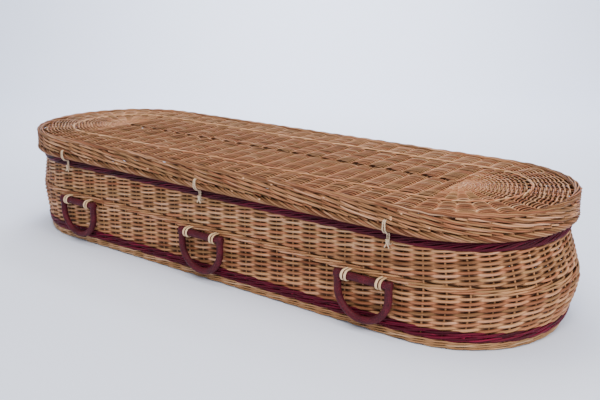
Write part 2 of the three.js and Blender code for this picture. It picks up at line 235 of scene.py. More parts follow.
class Socket:
    """A shader socket that takes part in arithmetic: every operator adds one Math node."""

    def __init__(self, tree, link=None):
        self.tree = tree
        self.link = link

    def make(self, kind, settings=None, inputs=None, output=0):
        """Any other node: its type, its settings, and the values or links of its sockets."""
        node = self.tree.nodes.new(kind)
        for name, value in (settings or {}).items():
            if name == "stops":
                ramp = node.color_ramp
                while len(ramp.elements) < len(value):
                    ramp.elements.new(0.5)
                for element, (place, colour) in zip(ramp.elements, value):
                    element.position = place
                    element.color = (*colour, 1)
            else:
                setattr(node, name, value)
        for name, value in (inputs or {}).items():
            if isinstance(value, Socket):
                self.tree.links.new(value.link, node.inputs[name])
            else:
                node.inputs[name].default_value = value
        return Socket(self.tree, node.outputs[output] if len(node.outputs) else None)

    def math(self, operation, *others, clamp=False):
        inputs = {0: self, **{place + 1: other for place, other in enumerate(others)}}
        return self.make("ShaderNodeMath", {"operation": operation, "use_clamp": clamp}, inputs)

    def clamped(self):
        """The same value, kept between 0 and 1."""
        return self.math("ADD", 0.0, clamp=True)

    def __add__(self, other):
        return self.math("ADD", other)

    __radd__ = __add__

    def __mul__(self, other):
        return self.math("MULTIPLY", other)

    __rmul__ = __mul__

    def __sub__(self, other):
        return self.math("SUBTRACT", other)

    def __rsub__(self, other):
        return (self * -1.0) + other

    def mix(self, low, high, blend="MIX"):
        """Two colours mixed with this socket as the factor."""
        return self.make(
            "ShaderNodeMix", {"data_type": "RGBA", "blend_type": blend},
            {"Factor": self, 6: low, 7: high}, output=2)


def rod_material(name, stops, dark, pale, roughness, spotting, specular=0.3):
    """Willow rods: a colour for each rod from its tint, lighter and darker by its shade, with long
    streaks, a scar here and there, a fine lengthwise grain, and painted shade on its hidden side."""
    material = bpy.data.materials.new(name)
    material.use_nodes = True
    tree = material.node_tree
    tree.nodes.clear()
    start = Socket(tree)
    tint, shade, deep = (
        start.make("ShaderNodeAttribute", {"attribute_name": title}, output=2)
        for title in ("tint", "shade", "deep"))
    uv = start.make("ShaderNodeUVMap", {"uv_map": "rod"})
    along = start.make("ShaderNodeSeparateXYZ", inputs={0: uv}, output=0)
    around = start.make("ShaderNodeSeparateXYZ", inputs={0: uv}, output=1)
    here = start.make("ShaderNodeTexCoord", output=3)
    streak_place = start.make(
        "ShaderNodeCombineXYZ", inputs={0: along * 9.0, 1: around * 3.5, 2: tint * 41.0})
    streaks = start.make("ShaderNodeTexNoise", inputs={"Vector": streak_place, "Scale": 2.2, "Detail": 4.0})
    grain_place = start.make(
        "ShaderNodeCombineXYZ", inputs={0: along * 60.0, 1: around * 22.0, 2: tint * 53.0})
    grain = start.make("ShaderNodeTexNoise", inputs={"Vector": grain_place, "Scale": 1.0, "Detail": 3.0})
    patches = start.make("ShaderNodeTexNoise", inputs={"Vector": here, "Scale": 5.0, "Detail": 2.0})
    scar_place = start.make(
        "ShaderNodeCombineXYZ", inputs={0: along * 14.0, 1: around * 1.5, 2: tint * 29.0})
    scars = start.make("ShaderNodeTexVoronoi", inputs={"Vector": scar_place, "Scale": 1.0})
    scar = (scars * -8.0 + 1.15).clamped() * spotting
    choice = (tint + (streaks - 0.5) * 0.55 + (patches - 0.5) * 0.35).clamped()
    colour = start.make("ShaderNodeValToRGB", {"stops": stops}, {0: choice})
    shading = (shade * 0.85 + (streaks - 0.5) * 0.9 + (grain - 0.5) * 0.5).clamped()
    colour = (shading * -1.4 + 0.74).clamped().mix(colour, (*dark, 1))
    colour = (shading * 1.5 - 1.02).clamped().mix(colour, (*pale, 1))
    colour = scar.mix(colour, (*dark, 1))
    # Painted shade: the deep attribute darkens each rod towards a deeper brown where it faces into the weave,
    # in place of the shadow there.
    colour = (deep * 0.95).clamped().mix(colour, (*(0.45 * np.array(dark)), 1))
    bump = start.make("ShaderNodeBump", inputs={
        "Height": grain * 0.6 + streaks * 0.4 - scar * 0.5, "Strength": 0.35, "Distance": 0.0008})
    surface = start.make("ShaderNodeBsdfPrincipled", inputs={
        "Base Color": colour, "Roughness": grain * 0.3 + roughness, "Normal": bump,
        "Specular IOR Level": specular})
    start.make("ShaderNodeOutputMaterial", inputs={"Surface": surface})
    return material


WILLOW_STOPS = [
    (0.0, (0.320, 0.172, 0.074)),
    (0.25, (0.410, 0.200, 0.090)),
    (0.5, (0.495, 0.246, 0.116)),
    (0.75, (0.430, 0.178, 0.084)),
    (1.0, (0.340, 0.126, 0.058))]
WILLOW_DARK = (0.060, 0.013, 0.002)
WILLOW_PALE = (0.900, 0.590, 0.380)
willow = rod_material("buff willow", WILLOW_STOPS, WILLOW_DARK, WILLOW_PALE, 0.46, 0.7, 0.16)


BUTT = 1.08           # a rod's thickness at its butt, as a share of its mean thickness
TAPER = 0.16          # what it loses of that by its tip
SWING_ROOM = 0.032    # stakes closer than this leave the rods less room to swing
PACED_FRONT = 0.4     # how far the strokes at a pace are moved towards the front


def randed(place, start, end, rows, depth, radius, steps=6, sides=6, outwards=0.0, shades=(0.15, 1.0),
           flatness=0.6, crevice=0.95, pace=1):
    """French randing between two levels of a surface: one rod begins at each stake, or as many as
    the pace says, and each passes the number of rows shared by the pace.

    At a pace of one a rod lies in front of one stake and behind the next: its distance from the
    middle of the weave is the cosine of half a turn for each stake. At a pace above one it lies in
    front of two stakes and behind the third: the cosine of a third of a turn for each stake, moved
    towards the front. A hyperbolic tangent flattens both. The level is the sum of the rod's
    thickness so far, which falls evenly from butt to tip. Where the stakes crowd together in the
    rounded ends, the rods swing less.
    """
    rods = STAKES * pace
    points = rows // pace * steps + 1
    number = np.arange(rods)[:, None]
    passed = np.arange(points) / steps
    station = (number * (steps // pace) + np.arange(points)) % (STAKES * steps)
    shares = plan_shares(STAKES * steps)[station]
    angle = station / (STAKES * steps) * 2 * np.pi
    share = np.broadcast_to(passed / passed[-1], station.shape)
    own = random.uniform(0.92, 1.12, (rods, 1)) * (1 + wobble(points, rods, 0.04))
    thickness = radius * (BUTT - TAPER * share) * own
    inset = radius * np.sign(end - start)
    level = start + inset + (end - start - 2 * inset) * (BUTT * share - TAPER / 2 * share ** 2)
    gap = np.linalg.norm(np.gradient(place(shares, 0, level), axis=1), axis=2) * steps
    if pace == 1:
        lift = np.tanh(-flatness * np.cos(np.pi * passed)) / np.tanh(flatness)
    else:
        third = 2 * np.pi / 3 * (number / pace + passed + number * pace)
        lift = np.tanh(flatness * (np.cos(third) + PACED_FRONT)) / np.tanh(flatness * (1 + PACED_FRONT))
    lift = lift * np.clip(gap / SWING_ROOM, 0.15, 1)
    inwards = depth / 2 - lift * (depth / 2 - thickness) * random.uniform(0.85, 1.08, (rods, 1))
    inwards = inwards + unevenness(angle, level, 0.0006)
    level = level + unevenness(angle, level, 0.0009) + wobble(points, rods, 0.0006)
    batch = tubes(place(shares, inwards, level), thickness, sides, closed=False, first=outwards)
    tint = random.uniform(0, 1, rods)
    shade = random.uniform(*shades, (rods, 1)) + wobble(points, rods, 0.12)
    # The last value is the painted shade on each rod's side that faces into the weave.
    return batch, tint, shade, hidden_side(lift, sides, crevice)


RANDING_ROWS = 14
BEHIND_BAND = 0.0072
BEHIND_BORDER = 0.0080
WEAVE_DEPTH = 0.0155
LOWER_ROD = 0.0044
UPPER_ROD = 0.0042
add_piece(
    "body_weave",
    [randed(on_body, BAND_TOP - BEHIND_BAND, WALE_LOW, RANDING_ROWS, WEAVE_DEPTH, LOWER_ROD),
     randed(on_body, WALE_HIGH, BODY_HEIGHT + BEHIND_BORDER, RANDING_ROWS, WEAVE_DEPTH, UPPER_ROD)],
    willow, ["coffin_body"])

# The stakes of the body: upright willow rods that the rows are woven round, one in about 57 mm.
# They start in the base, follow the belly of the wall and end in the border at the mouth.
STAKE_RADIUS = 0.0027
STAKE_FOOT = 0.004
STAKE_IN_BORDER = 0.008
stake_heights = np.linspace(STAKE_FOOT, BODY_HEIGHT + STAKE_IN_BORDER, 12)
stake_lines = on_body(plan_shares(STAKES)[:, None], WEAVE_DEPTH / 2, stake_heights[None])
stake_lines = stake_lines + random.normal(0, 0.0008, (STAKES, 1, 3)) * (1, 1, 0)
# The stakes carry an even painted shade, a darkening in place of the shadow in the gaps where they show.
add_piece(
    "body_stakes",
    [(tubes(stake_lines, STAKE_RADIUS, closed=False, up=(0.31, 0.95, 0)),
      random.uniform(0.1, 0.6, STAKES), random.uniform(0.4, 0.8, STAKES), 0.30)],
    willow)

# The line of heavier weaving half way up the body, and the foot: three rods at a time, each
# passing in front of two stakes and behind the third, so that the strokes lie like a rope's.
STRANDS = 3
RODS_IN_ROUND = 5
WALE_FLATNESS = 1.8
WALE_FRONT = 0.42    # how far the strokes are moved towards the front


def joined_rods(points, strands, rods, tints, shades):
    """The tint and shade along closed strands, each of so many rods that follow one another: a
    value drawn for each rod, and slow waves on the shade."""
    strand = np.arange(strands)[:, None]
    begun = random.uniform(0, 1, (strands, 1))
    rod = np.floor((np.arange(points) / points + begun) * rods).astype(int) % rods
    tint = random.uniform(*tints, (strands, rods))[strand, rod]
    shade = random.uniform(*shades, (strands, rods))[strand, rod]
    return tint, shade + wobble(points, strands, 0.15, waves=30)


def waled(place, level, depth, radius, rise, steps=6, sides=6, offset=0, shades=(0.25, 1.0), pair=0.0,
          out=0.0, outwards=0.0, crevice=0.7, tints=(0.0, 1.0)):
    """One round of three-rod weaving, each strand a rod or a pair of rods.

    Strand number n is n stakes behind the first. Over three stakes it comes out, lies in front of
    two and goes in again: a flattened cosine across the wall, and a sine up and down it. The two
    rods of a pair lie above and below the strand's line. out is how far it stands proud.
    """
    points = STAKES * steps
    shares = plan_shares(points)
    angle = np.arange(points) / points * 2 * np.pi
    strand = np.arange(STRANDS)[:, None]
    turn = 2 * np.pi * (np.arange(points) / steps + strand + offset) / STRANDS
    lift = np.tanh(WALE_FLATNESS * (np.cos(turn) + WALE_FRONT)) / np.tanh(WALE_FLATNESS * (1 + WALE_FRONT))
    parts = []
    for apart in ((-pair, pair) if pair else (0.0,)):
        thickness = radius * (1 + wobble(points, STRANDS, 0.09, waves=9))
        height = level + rise * np.sin(turn) + apart + unevenness(angle, angle, 0.0007)
        height = height + wobble(points, STRANDS, 0.0006, waves=20)
        inwards = depth / 2 - out - lift * (depth / 2 - radius) - apart * 0.4
        inwards = inwards + wobble(points, STRANDS, 0.0005, waves=12)
        batch = tubes(place(shares, inwards, height), thickness, sides, first=outwards)
        tint, shade = joined_rods(points, STRANDS, RODS_IN_ROUND, tints, shades)
        # Painted shade: each strand is darkened further where it passes through the wall between stakes.
        diving = 1.1 * np.clip(0.55 - np.abs(lift), 0, 1)[..., None]
        parts.append((batch, tint, shade, hidden_side(lift, sides, crevice) + diving))
    return parts


WALE_ROUNDS = 2
WALE_ROD = 0.0030
WALE_RISE = 0.0032
WALE_PROUD = 0.0004
FOOT_ROUNDS = 3
FOOT_ROD = 0.0026
FOOT_RISE = 0.0022
FOOT_DEPTH = 0.022
FOOT_SPACING = 0.0066
FOOT_LOWEST = 0.0060
STRAW = (0.0, 0.25)    # the tints of the foot's rods
body_wales = []
for turn in range(WALE_ROUNDS):
    level = WALE_LOW + (WALE_HIGH - WALE_LOW) * (turn + 0.5) / WALE_ROUNDS
    body_wales += waled(
        on_body, level, WALL, WALE_ROD, WALE_RISE, offset=turn, out=WALE_PROUD, shades=(0.15, 1.0))
# The foot's rods get a lighter shade range: painted light in place of the light bounced up from the floor.
for turn in range(FOOT_ROUNDS):
    level = FOOT_LOWEST + FOOT_SPACING * turn
    body_wales += waled(
        on_body, level, FOOT_DEPTH, FOOT_ROD, FOOT_RISE, offset=turn, shades=(0.45, 1.1), crevice=0.95,
        tints=STRAW)
add_piece("body_wales", body_wales, willow)

# The burgundy band round the foot: two rounds of the same weaving in dyed willow, each strand a
# pair of rods, worked over the ends of the wall's first rows.
BURGUNDY_STOPS = [
    (0.0, (0.060, 0.0012, 0.009)),
    (0.35, (0.095, 0.0015, 0.014)),
    (0.7, (0.150, 0.002, 0.022)),
    (1.0, (0.210, 0.004, 0.034))]
BURGUNDY_DARK = (0.026, 0.0006, 0.004)
BURGUNDY_PALE = (0.380, 0.014, 0.070)
burgundy = rod_material("burgundy willow", BURGUNDY_STOPS, BURGUNDY_DARK, BURGUNDY_PALE, 0.36, 0.4, 0.16)
BAND_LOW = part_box("lower_band")[0][2]
BAND_ROUNDS = 2
BAND_ROD = 0.0027
BAND_RISE = 0.0042
BAND_PAIR = 0.0026
BAND_PROUD = 0.0015
band_rows = []
for turn in range(BAND_ROUNDS):
    level = BAND_LOW + (BAND_TOP - BAND_LOW) * (turn + 0.5) / BAND_ROUNDS
    band_rows += waled(
        on_body, level, WALL, BAND_ROD, BAND_RISE, offset=turn, pair=BAND_PAIR, out=BAND_PROUD,
        shades=(0.0, 0.8))
add_piece("lower_band_weave", band_rows, burgundy, ["lower_band"])

# The border at the mouth: dyed rods rolled over each other along the top of the wall, so that they
# show as slanting strands. The lid rests on it.
BORDER_LOW, BORDER_HIGH = (np.array(corner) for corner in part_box("mouth_border"))
BORDER_WIDTH = 0.027
BORDER_SET_IN = -0.0045
BORDER_ROD = 0.0033
BORDER_STRANDS = 14
BORDER_TURNS = 12
RODS_IN_STRAND = 7


def rolled(place, depth, level, half_depth, half_height, radius, strands, turns, steps=5, sides=5,
           squareness=0.75, shades=(0.2, 1.0), crevice=0.8, humps=0.0):
    """Strands wound round a line that follows the plan: each circles it a whole number of times.

    The way round is an ellipse made squarer by raising its sine and cosine to a power below one.
    Over each stake the line rises in a hump, the size of a cosine of half a turn.
    """
    points = STAKES * steps
    shares = plan_shares(points)
    strand = np.arange(strands)[:, None]
    swept = 2 * np.pi * (strand / strands + np.arange(points) / points * turns)
    swept = swept + wobble(points, strands, 0.16, waves=24)
    across, up = np.cos(swept), np.sin(swept)
    inwards = depth - (half_depth - radius) * np.sign(across) * np.abs(across) ** squareness
    height = level + (half_height - radius) * np.sign(up) * np.abs(up) ** squareness
    height = height + humps * (np.abs(np.cos(np.pi * np.arange(points) / steps)) - 0.6)
    thickness = radius * random.uniform(0.86, 1.08, (strands, 1))
    thickness = thickness * (1 + wobble(points, strands, 0.08, waves=16))
    inwards = inwards + wobble(points, strands, 0.0004, waves=16)
    batch = tubes(place(shares, inwards, height), thickness, sides)
    tint, shade = joined_rods(points, strands, RODS_IN_STRAND, (0, 1), shades)
    # Painted shade: the side of each strand that faces into the roll is darkened.
    facing = np.cos(np.arange(sides) / sides * 2 * np.pi - swept[..., None])
    return batch, tint, shade, np.clip(crevice - facing, 0, 1)


def on_border(shares, depth, height):
    """Points so far in from the wall's line at the mouth."""
    return on_plan(shares, MOUTH_INSETS[0] + depth, MOUTH_INSETS[1] + depth, height)


border_middle = (BORDER_LOW[2] + BORDER_HIGH[2]) / 2
border_half = (BORDER_HIGH[2] - BORDER_LOW[2]) / 2
# The border's rods get a much darker shade range than the band's: painted shade in place of the shadow under
# the lid's overhang.
add_piece(
    "mouth_border_plait",
    [rolled(on_border, BORDER_SET_IN + BORDER_WIDTH / 2, border_middle, BORDER_WIDTH / 2, border_half,
            BORDER_ROD, BORDER_STRANDS, BORDER_TURNS, shades=(0.0, 0.34), crevice=1.0)],
    burgundy, ["mouth_border"])

# The lid's side: thin willow rods close together on short upright stakes, two begun at each. They
# pass in front of two stakes and behind the third while they fall to the right.
LID_BOTTOM = LID_LOW[2]
LID_RIDGE = LID_HIGH[2]
LID_EDGE_HEIGHT = 0.022
LID_TUCK = 0.0022
LID_WALL = 0.014
LID_SIDE_TOP = LID_RIDGE - 0.0085
LID_SIDE_ROWS = 10
LID_SIDE_ROD = 0.0029
BEHIND_LOWER_BORDER = 0.002


def on_lid(shares, depth, height):
    """Points so far in from the lid's plan, equally all round."""
    return on_plan(shares, depth, depth, height)


def on_lid_side(shares, depth, height):
    """The same for the lid's side, which lies a little inside its borders."""
    return on_lid(shares, depth + LID_TUCK, height)


add_piece(
    "lid_side_weave",
    [randed(on_lid_side, LID_SIDE_TOP, LID_BOTTOM + LID_EDGE_HEIGHT - BEHIND_LOWER_BORDER, LID_SIDE_ROWS,
            LID_WALL, LID_SIDE_ROD, shades=(0.1, 1.05), flatness=1.4, pace=2)],
    willow, ["lid"])
lid_stake_heights = np.linspace(LID_BOTTOM + 0.006, LID_RIDGE - 0.008, 4)
lid_stake_lines = on_lid(plan_shares(STAKES)[:, None], LID_TUCK + LID_WALL / 2, lid_stake_heights[None])
# The lid's stakes carry an even painted shade, a darkening in place of the shadow inside the weave.
add_piece(
    "lid_stakes",
    [(tubes(lid_stake_lines, STAKE_RADIUS, closed=False, up=(0.31, 0.95, 0)),
      random.uniform(0.1, 0.6, STAKES), random.uniform(0.3, 0.7, STAKES), 0.5)],
    willow)

# The lid's lower border: slanting rods rolled round each other, which overhang the body. The ridge
# at the lid's top corner: rods almost in line with the edge, raised in a low hump over each stake.
LID_EDGE_WIDTH = 0.044
LID_EDGE_ROD = 0.0033
LID_EDGE_STRANDS = 11
LID_EDGE_TURNS = -20
add_piece(
    "lid_lower_border",
    [rolled(on_lid, LID_EDGE_WIDTH / 2, LID_BOTTOM + LID_EDGE_HEIGHT / 2, LID_EDGE_WIDTH / 2,
            LID_EDGE_HEIGHT / 2, LID_EDGE_ROD, LID_EDGE_STRANDS, LID_EDGE_TURNS, squareness=0.85,
            shades=(0.0, 0.95), crevice=1.15)],
    willow)
RIDGE_WIDTH = 0.020
RIDGE_HEIGHT = 0.0125
RIDGE_ROD = 0.0028
RIDGE_STRANDS = 7
RIDGE_TURNS = -11
RIDGE_HUMPS = 0.0022
add_piece(
    "lid_corner_ridge",
    [rolled(on_lid, LID_TUCK + RIDGE_WIDTH / 2, LID_RIDGE - RIDGE_HEIGHT / 2, RIDGE_WIDTH / 2,
            RIDGE_HEIGHT / 2, RIDGE_ROD, RIDGE_STRANDS, RIDGE_TURNS, shades=(0.05, 1.05), crevice=1.1,
            humps=RIDGE_HUMPS)],
    willow)

# The lid's panel: ribs laid across the coffin, fanning out round the ends, and French randing over
# and under them that follows the coffin's plan. Its strokes lie over the same ribs in every second
# row, so that the rods' crossings line up in pale stripes half way between the ribs.
PANEL_THICKNESS = 0.0150
PANEL_TOP = LID_RIDGE - 0.0025
PANEL_EDGE = 0.0260
RING_INSET = 0.125
RING_HALF = 0.0040
RING_GAP = 0.0040
PANEL_FLATNESS = 2.2
PANEL_CREVICE = 1.3
PANEL_MIDDLE = HALF_WIDTH - 0.0030
PANEL_SHADES = (0.35, 1.05)
MARGIN_ROWS = 16
MARGIN_ROD = 0.0027
PANEL_ROWS = 31
PANEL_ROD = 0.0026
UPWARDS = np.pi / 2


def on_panel(shares, depth, inset):
    """Points so far below the panel's top, at a distance in from the lid's plan."""
    return on_plan(shares, inset, inset, PANEL_TOP - depth)


add_piece(
    "lid_panel_margin",
    [randed(on_panel, PANEL_EDGE, RING_INSET - RING_HALF, MARGIN_ROWS, PANEL_THICKNESS, MARGIN_ROD,
            sides=5, outwards=UPWARDS, shades=PANEL_SHADES, flatness=PANEL_FLATNESS, crevice=PANEL_CREVICE)],
    willow)
add_piece(
    "lid_panel_weave",
    [randed(on_panel, RING_INSET + RING_HALF + RING_GAP, PANEL_MIDDLE, PANEL_ROWS, PANEL_THICKNESS, PANEL_ROD,
            sides=5, outwards=UPWARDS, shades=PANEL_SHADES, flatness=PANEL_FLATNESS, crevice=PANEL_CREVICE)],
    willow)

# The ring on the panel: a round of three-rod weaving laid flat, worked between the margin and the
# middle of the panel, which stands a little above both.
RING_ROD = 0.0029
RING_RISE = 0.0026
RING_PROUD = 0.0006
add_piece(
    "lid_panel_ring",
    waled(on_panel, RING_INSET, PANEL_THICKNESS, RING_ROD, RING_RISE, out=RING_PROUD, shades=(0.3, 1.0),
          outwards=UPWARDS),
    willow)

# The ribs of the panel: straight willow rods that the panel's rows are woven over and under. One
# runs in at each stake of the lid, from the ridge to the middle.
RIB_RADIUS = 0.0026
rib_insets = np.linspace(0.012, HALF_WIDTH - 0.001, 14)
rib_lines = on_panel(plan_shares(STAKES)[:, None], PANEL_THICKNESS / 2, rib_insets[None])
# The ribs carry an even painted shade, a darkening in place of the shadow under the panel's rows.
add_piece(
    "lid_ribs",
    [(tubes(rib_lines, RIB_RADIUS, closed=False),
      random.uniform(0.1, 0.9, STAKES), random.uniform(0.3, 0.8, STAKES), 0.45)],
    willow)

# The base: willow in French randing like the lid's panel, in thicker rods over and under stout
# ribs, one at each stake, inside the foot of the wall.
BASE_LOW, BASE_THICKNESS = 0.006, 0.017
BASE_MIDDLE = HALF_WIDTH - FOOT_INSETS[1] - 0.0045
BASE_ROWS = 28
BASE_ROD = 0.0046
BASE_RIB = 0.0036


def on_base(shares, depth, inset):
    """Points so far below the base's top, at a distance in from the foot of the wall."""
    return on_plan(shares, FOOT_INSETS[0] + inset, FOOT_INSETS[1] + inset, BASE_LOW + BASE_THICKNESS - depth)


add_piece(
    "base_weave",
    [randed(on_base, WALL - 0.002, BASE_MIDDLE, BASE_ROWS, BASE_THICKNESS, BASE_ROD, steps=4, sides=4,
            outwards=UPWARDS)],
    willow)
base_rib_insets = np.linspace(0.008, BASE_MIDDLE, 12)
base_rib_lines = on_base(plan_shares(STAKES)[:, None], BASE_THICKNESS / 2, base_rib_insets[None])
add_piece(
    "base_ribs",
    [(tubes(base_rib_lines, BASE_RIB, closed=False),
      random.uniform(0.1, 0.9, STAKES), random.uniform(0.4, 1, STAKES), 0.0)],
    willow)

# Cut ends: where a rod runs out, its end is cut off short on a slant. Most are hidden, and a few
# stand out a little, pale at the cut, along the lid's side, the wall and the burgundy borders.
CUT_RADIUS = 0.0023
CUT_FROM = 0.0070     # how deep in the weave they start
CUT_TOWARDS = 0.0006
CUT_CLIMB = 0.003
CUT_LENGTH = 0.0145
BORDER_CUT_LENGTH = 0.0195
BAND_CUT_LENGTH = 0.0165
LID_CUTS, WALL_CUTS, BORDER_CUTS, BAND_CUTS = 46, 12, 26, 18
WALL_CUT_LEVELS = (0.160, 0.250)
CUT_EDGE = 0.006      # how far they keep from the edges of a burgundy border


def cut_ends(place, count, levels, length):
    """Short rods that come out of the weave on a slant along the plan: straight lines from inside
    the wall to just past its face. The last two rings are the cut."""
    share = np.array([0.0, 0.45, 0.95, 1.0])
    shares = plan_shares(4 * STAKES)
    where = random.integers(0, 4 * STAKES, count)
    level = random.uniform(*levels, count)
    start = place(shares[where], CUT_FROM, level)
    climb = random.uniform(-CUT_CLIMB, CUT_CLIMB, count)
    there = place(shares[(where + 1) % (4 * STAKES)], CUT_TOWARDS, level + climb)
    ahead = there - start
    ahead = ahead / np.linalg.norm(ahead, axis=1, keepdims=True)
    sizes = random.uniform(0.7, 1.2, (count, 1))
    lines = start[:, None] + ahead[:, None] * share[:, None] * length
    shade = np.broadcast_to((0.5, 0.7, 1.0, 1.35), (count, 4))
    return tubes(lines, CUT_RADIUS * sizes, closed=False), random.uniform(0.2, 0.7, count), shade, 0.0


add_piece(
    "cut_ends",
    [cut_ends(on_lid, LID_CUTS, (LID_BOTTOM + 0.012, LID_SIDE_TOP), CUT_LENGTH),
     cut_ends(on_body, WALL_CUTS, WALL_CUT_LEVELS, CUT_LENGTH)],
    willow)
add_piece(
    "burgundy_cut_ends",
    [cut_ends(on_border, BORDER_CUTS, (BORDER_LOW[2] + CUT_EDGE, BORDER_HIGH[2] - CUT_EDGE),
              BORDER_CUT_LENGTH),
     cut_ends(on_body, BAND_CUTS, (BAND_LOW + CUT_EDGE, BAND_TOP - CUT_EDGE), BAND_CUT_LENGTH)],
    burgundy)

# The handles: rope in a close-fitting burgundy cover, a straight bar and a bow below it. The bow's
# legs end over the bar's ends in cut tufts. They hang from their lashings; the real ones swing out and up.
HANDLE_NODES = [f"handle_{side}_{number}" for side in ("front", "back") for number in (1, 2, 3)]
HANDLE_AXIS = 0.145
BAR_RADIUS = 0.011
BOW_RADIUS = 0.0105
BOW_DROP = 0.110
BOW_LEG = 0.036
BOW_SWELL = 0.05
SWELL_LENGTH = 0.009
BAR_MARGIN = 0.002    # how far the bar's ends stay inside the model's box
BAR_SLACK, BOW_SLACK = 0.0004, 0.0003    # room left for the ropes' unevenness
BAR_POINTS, ARC_POINTS, LEG_POINTS = 36, 34, 15
COVER_STOPS = [
    (0.0, (0.012, 0.0012, 0.003)),
    (0.5, (0.052, 0.0034, 0.009)),
    (1.0, (0.150, 0.014, 0.026))]
THREADS = 380.0    # threads of the cover in a metre of rope


def cover_material():
    """The woven cover: fine threads wound at a slant, worn paler in small patches, matt."""
    material = bpy.data.materials.new("burgundy cover")
    material.use_nodes = True
    tree = material.node_tree
    tree.nodes.clear()
    start = Socket(tree)
    uv = start.make("ShaderNodeUVMap", {"uv_map": "rod"})
    along = start.make("ShaderNodeSeparateXYZ", inputs={0: uv}, output=0)
    around = start.make("ShaderNodeSeparateXYZ", inputs={0: uv}, output=1)
    here = start.make("ShaderNodeTexCoord", output=3)
    threads = ((along * THREADS + around) * 2 * math.pi).math("SINE") * 0.5 + 0.5
    crossing = ((along * THREADS - around * 2.0) * 2 * math.pi).math("SINE") * 0.5 + 0.5
    speckle = start.make("ShaderNodeTexNoise", inputs={"Vector": here, "Scale": 420.0, "Detail": 3.0})
    wear = start.make("ShaderNodeTexNoise", inputs={"Vector": here, "Scale": 38.0, "Detail": 3.0})
    weave = threads * 0.5 + crossing * 0.5
    tone = ((speckle - 0.5) * 1.5 + (weave - 0.5) * 0.35 + (wear - 0.5) * 0.7 + 0.5).clamped()
    colour = start.make("ShaderNodeValToRGB", {"stops": COVER_STOPS}, {0: tone})
    bump = start.make("ShaderNodeBump", inputs={
        "Height": weave * 0.6 + speckle * 0.7, "Strength": 0.5, "Distance": 0.0006})
    surface = start.make("ShaderNodeBsdfPrincipled", inputs={
        "Base Color": colour, "Roughness": wear * 0.2 + 0.50, "Normal": bump, "Specular IOR Level": 0.2})
    start.make("ShaderNodeOutputMaterial", inputs={"Surface": surface})
    return material


def handle_rope(line, radius, swell):
    """A rope along one line: a round section, a little uneven, that swells by a share of itself at
    its ends as a bell curve of the distance from them."""
    step = np.linalg.norm(np.diff(line, axis=0), axis=1)
    along = np.r_[0, np.cumsum(step)]
    nearest = np.minimum(along, along[-1] - along)
    swelling = swell * np.exp(-(nearest / SWELL_LENGTH) ** 2)
    size = radius * (1 + swelling + wobble(len(line), 1, 0.012, waves=9)[0])
    return tubes(line[None], size[None], sides=14, closed=False, up=(0, 1, 0.02))


cover = cover_material()
for node in HANDLE_NODES:
    low, high = (np.array(corner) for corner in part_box(node))
    middle = np.array([(low[0] + high[0]) / 2, (low[1] + high[1]) / 2, HANDLE_AXIS])
    reach = (high[0] - low[0]) / 2
    bar = middle + np.linspace(-1, 1, BAR_POINTS)[:, None] * (reach - BAR_MARGIN) * np.array([1.0, 0.0, 0.0])
    leg = reach - BOW_RADIUS
    angle = np.linspace(0, np.pi, ARC_POINTS)
    arc = np.stack([-leg * np.cos(angle), 0 * angle, -BOW_LEG - (BOW_DROP - BOW_LEG) * np.sin(angle)], 1)
    rise = np.linspace(BAR_RADIUS, -BOW_LEG, LEG_POINTS + 1)[:-1]
    left = np.stack([np.full(LEG_POINTS, -leg), np.zeros(LEG_POINTS), rise], 1)
    bow = middle + np.concatenate([left, arc, left[::-1] * (-1, 1, 1)])
    add_piece(
        f"{node}_rope",
        [(handle_rope(bar, BAR_RADIUS - BAR_SLACK, 0.0), 0.5, 0.5, 0.0),
         (handle_rope(bow, BOW_RADIUS - BOW_SLACK, BOW_SWELL), 0.5, 0.5, 0.0)],
        cover, [node], body=node)

# The lashings: two flat strands of pale cane side by side round each end of the bar, through the
# wall and across its inner face.
CANE_STOPS = [
    (0.0, (0.440, 0.275, 0.145)),
    (0.5, (0.580, 0.390, 0.225)),
    (1.0, (0.720, 0.520, 0.320))]
CANE_DARK = (0.190, 0.095, 0.038)
CANE_PALE = (0.760, 0.590, 0.390)
cane = rod_material("pale cane", CANE_STOPS, CANE_DARK, CANE_PALE, 0.50, 0.3)
STRAND_HALF = 0.0038
STRAND_SET_IN = 0.0012
STRAND_THICKNESS = 0.0016


def lashing_loop(x, low, high, outwards):
    """A closed loop across the wall: half a circle round the bar, two straight runs and a back."""
    radius = (high[2] - low[2]) / 2 - STRAND_THICKNESS
    front = high[1] if outwards > 0 else low[1]
    back = low[1] if outwards > 0 else high[1]
    centre = front - outwards * (radius + STRAND_THICKNESS)
    inner = back + outwards * STRAND_THICKNESS
    angle = np.linspace(-np.pi / 2, np.pi / 2, 13)
    nose = np.stack([centre + outwards * radius * np.cos(angle), radius * np.sin(angle)], 1)
    upper = np.stack([np.linspace(centre, inner, 7)[1:], np.full(6, radius)], 1)
    rear = np.stack([np.full(3, inner), np.linspace(radius, -radius, 5)[1:-1]], 1)
    ring = np.concatenate([nose, upper, rear, upper[::-1] * (1, -1)])
    return np.stack([np.full(len(ring), x), ring[:, 0], ring[:, 1] + (low[2] + high[2]) / 2], 1)


for side, outwards in (("front", -1), ("back", 1)):
    for number in (1, 2, 3):
        for end in ("left", "right"):
            node = f"lashing_{side}_{number}_{end}"
            low, high = (np.array(corner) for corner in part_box(node))
            loops = np.stack([
                lashing_loop(low[0] + STRAND_HALF + STRAND_SET_IN, low, high, outwards),
                lashing_loop(high[0] - STRAND_HALF - STRAND_SET_IN, low, high, outwards)])
            strand = tubes(loops, STRAND_HALF, sides=8, flatten=STRAND_THICKNESS / STRAND_HALF, up=(1, 0, 0))
            add_piece(
                f"{node}_strands",
                [(strand, random.uniform(0, 1, 2), random.uniform(0.5, 1, 2), 0.0)],
                cane, [node])

